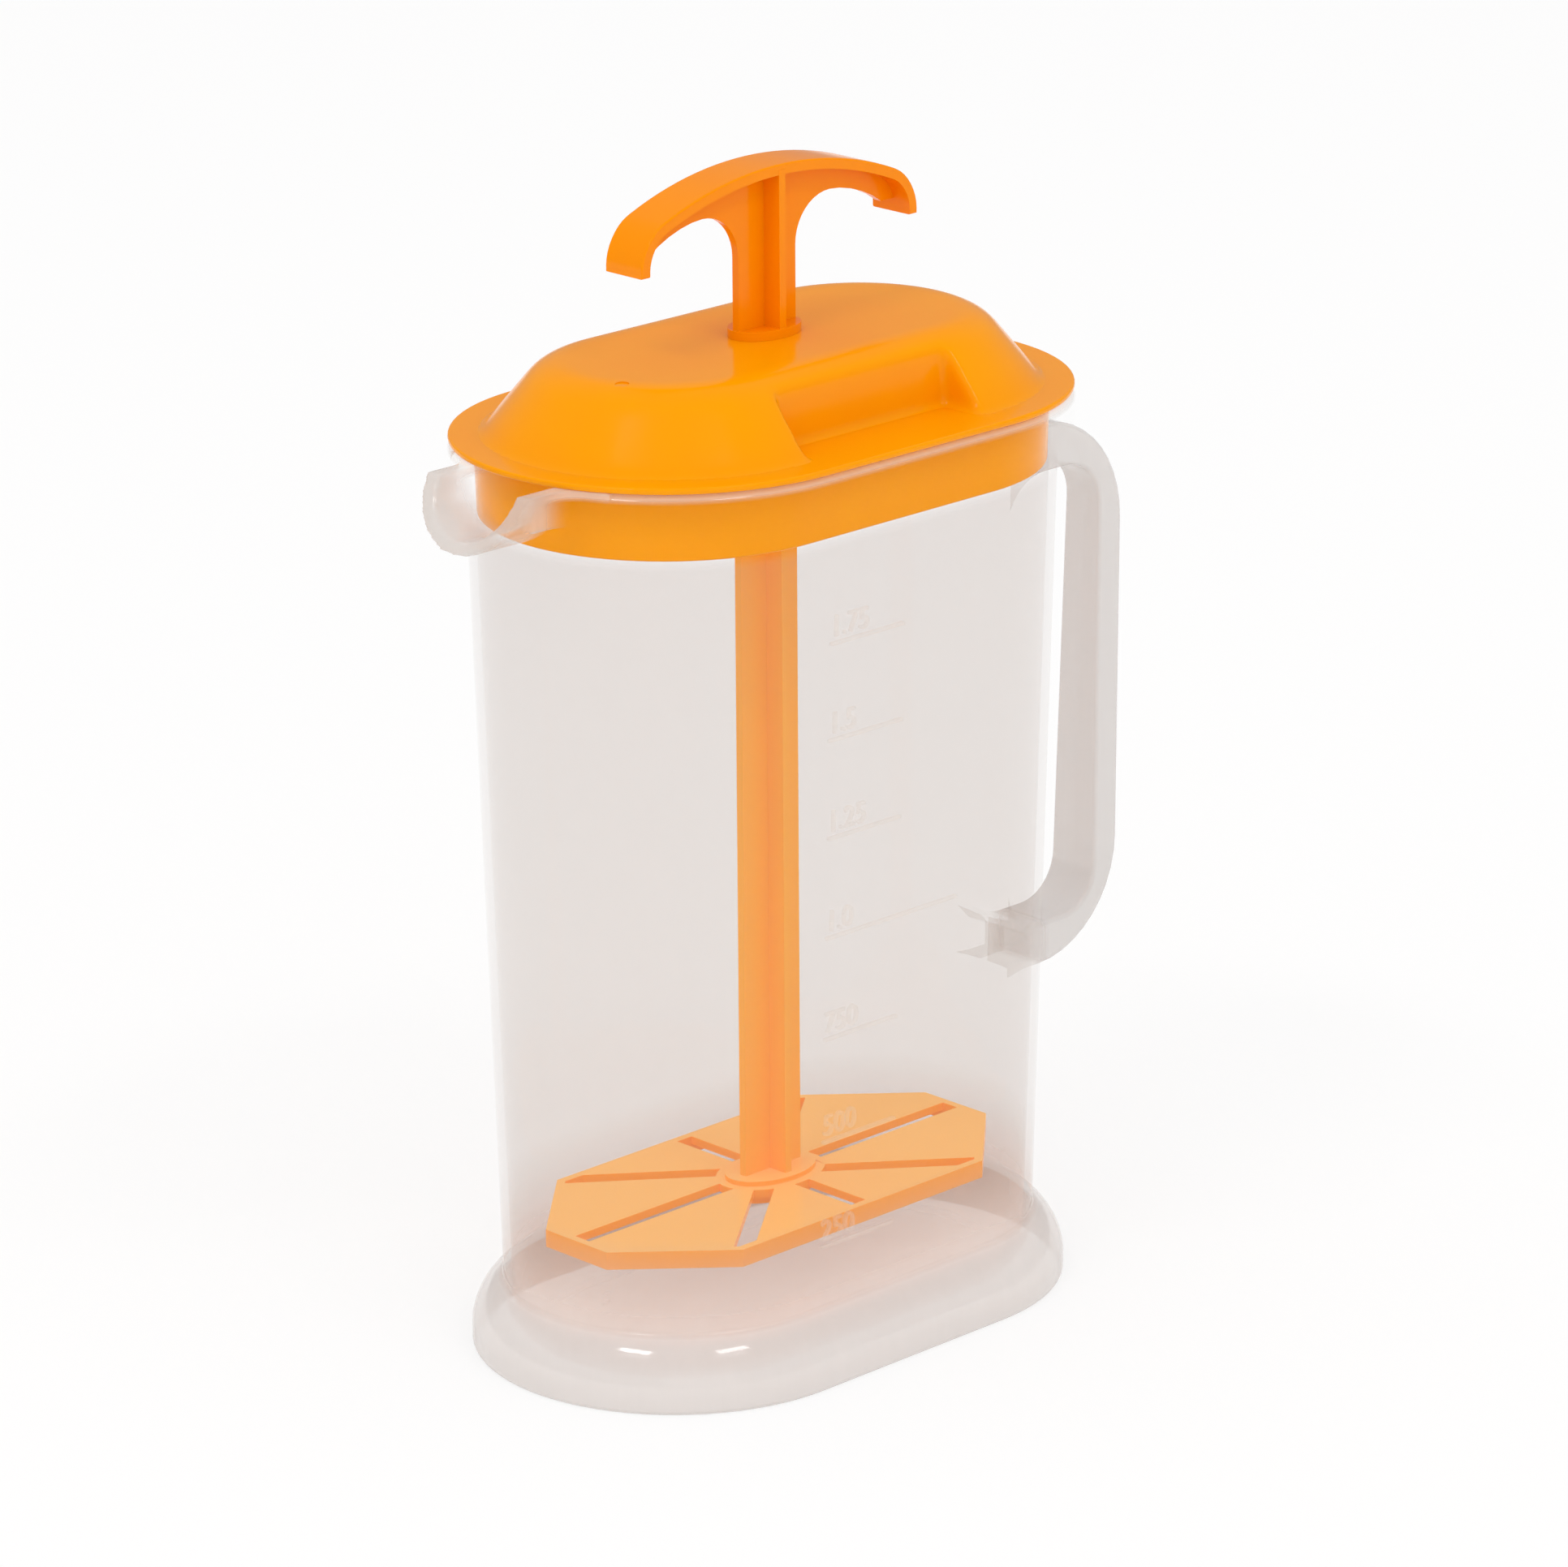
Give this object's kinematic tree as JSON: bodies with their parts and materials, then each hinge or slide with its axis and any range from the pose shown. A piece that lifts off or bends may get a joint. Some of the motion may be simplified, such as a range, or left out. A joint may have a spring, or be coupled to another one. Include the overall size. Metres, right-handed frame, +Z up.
{
  "type": "mixing jug",
  "caption": "Tall oval jug with a spout, a loop handle and a lid; a T-handled plunger runs through the lid and carries a slotted mixing plate.",
  "frame": {"origin": "on the surface the jug stands on, under the middle of its overall length and width", "axes": "+Z up along the plunger, +X towards the handle, -X towards the spout, +Y towards the plain side; the graduations are on the -Y side"},
  "size_m": [0.2102, 0.1008, 0.2773],
  "materials": {
    "jug": "translucent natural polypropylene, fine sheen",
    "lid": "glossy orange",
    "plunger": "glossy orange",
    "plate": "glossy orange"
  },
  "bodies": {
    "jug": {"jug_body": "jug"},
    "lid": {"lid": "lid"},
    "plunger": {"plunger": "plunger", "mixing_plate": "plate"}
  },
  "joints": [
    {"name": "lid_lift", "type": "slide", "parent": "jug", "child": "lid", "axis": [0, 0, 1], "range_m": [0, 0.21]},
    {"name": "plunger_slide", "type": "slide", "parent": "lid", "child": "plunger", "axis": [0, 0, 1], "range_m": [0, 0.185]}
  ]
}
